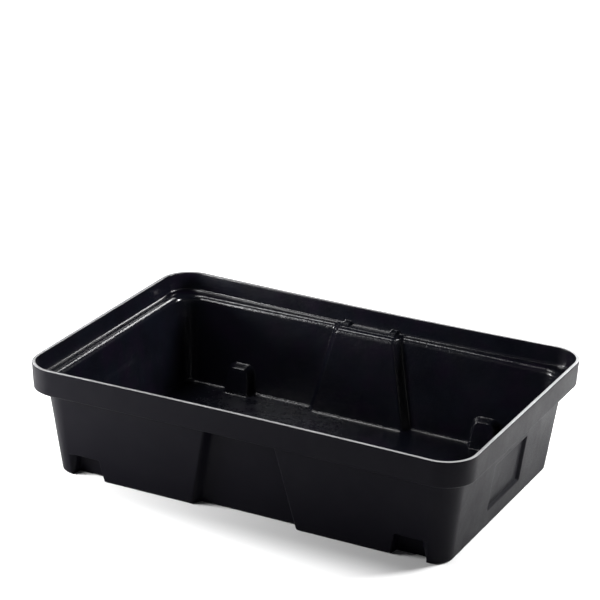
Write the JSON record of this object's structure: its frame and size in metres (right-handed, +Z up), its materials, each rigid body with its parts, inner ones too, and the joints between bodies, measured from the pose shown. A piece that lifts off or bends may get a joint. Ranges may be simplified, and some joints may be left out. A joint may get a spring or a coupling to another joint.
{
  "type": "spill containment tray",
  "caption": "Open rectangular spill tray moulded in black plastic, with a deep rim band, an inner deck ledge, drafted walls recessed in the middle and floor notches.",
  "frame": {"origin": "on the ground, under the middle of the tray", "axes": "+X along the long side, +Y from the front long side to the rear long side, +Z up"},
  "size_m": [0.6, 0.4, 0.15],
  "materials": {
    "polyethylene_satin": "satin black moulded plastic, assumed to be polyethylene, fine moulded grain outside, smoother and glossier inside"
  },
  "bodies": {
    "root": {"deck_stop_front_left": "polyethylene_satin", "deck_stop_front_right": "polyethylene_satin", "deck_stop_rear_left": "polyethylene_satin", "deck_stop_rear_right": "polyethylene_satin", "end_wall_left": "polyethylene_satin", "end_wall_right": "polyethylene_satin", "floor_panel": "polyethylene_satin", "front_wall_left": "polyethylene_satin", "front_wall_recessed_middle": "polyethylene_satin", "front_wall_right": "polyethylene_satin", "ledge_corner_front_left": "polyethylene_satin", "ledge_corner_front_right": "polyethylene_satin", "ledge_corner_rear_left": "polyethylene_satin", "ledge_corner_rear_right": "polyethylene_satin", "ledge_front": "polyethylene_satin", "ledge_left": "polyethylene_satin", "ledge_rear": "polyethylene_satin", "ledge_right": "polyethylene_satin", "rear_wall_left": "polyethylene_satin", "rear_wall_recessed_middle": "polyethylene_satin", "rear_wall_right": "polyethylene_satin", "rim_corner_front_left": "polyethylene_satin", "rim_corner_front_right": "polyethylene_satin", "rim_corner_rear_left": "polyethylene_satin", "rim_corner_rear_right": "polyethylene_satin", "rim_front": "polyethylene_satin", "rim_left": "polyethylene_satin", "rim_rear": "polyethylene_satin", "rim_right": "polyethylene_satin", "wall_corner_front_left": "polyethylene_satin", "wall_corner_front_right": "polyethylene_satin", "wall_corner_rear_left": "polyethylene_satin", "wall_corner_rear_right": "polyethylene_satin"}
  },
  "joints": []
}
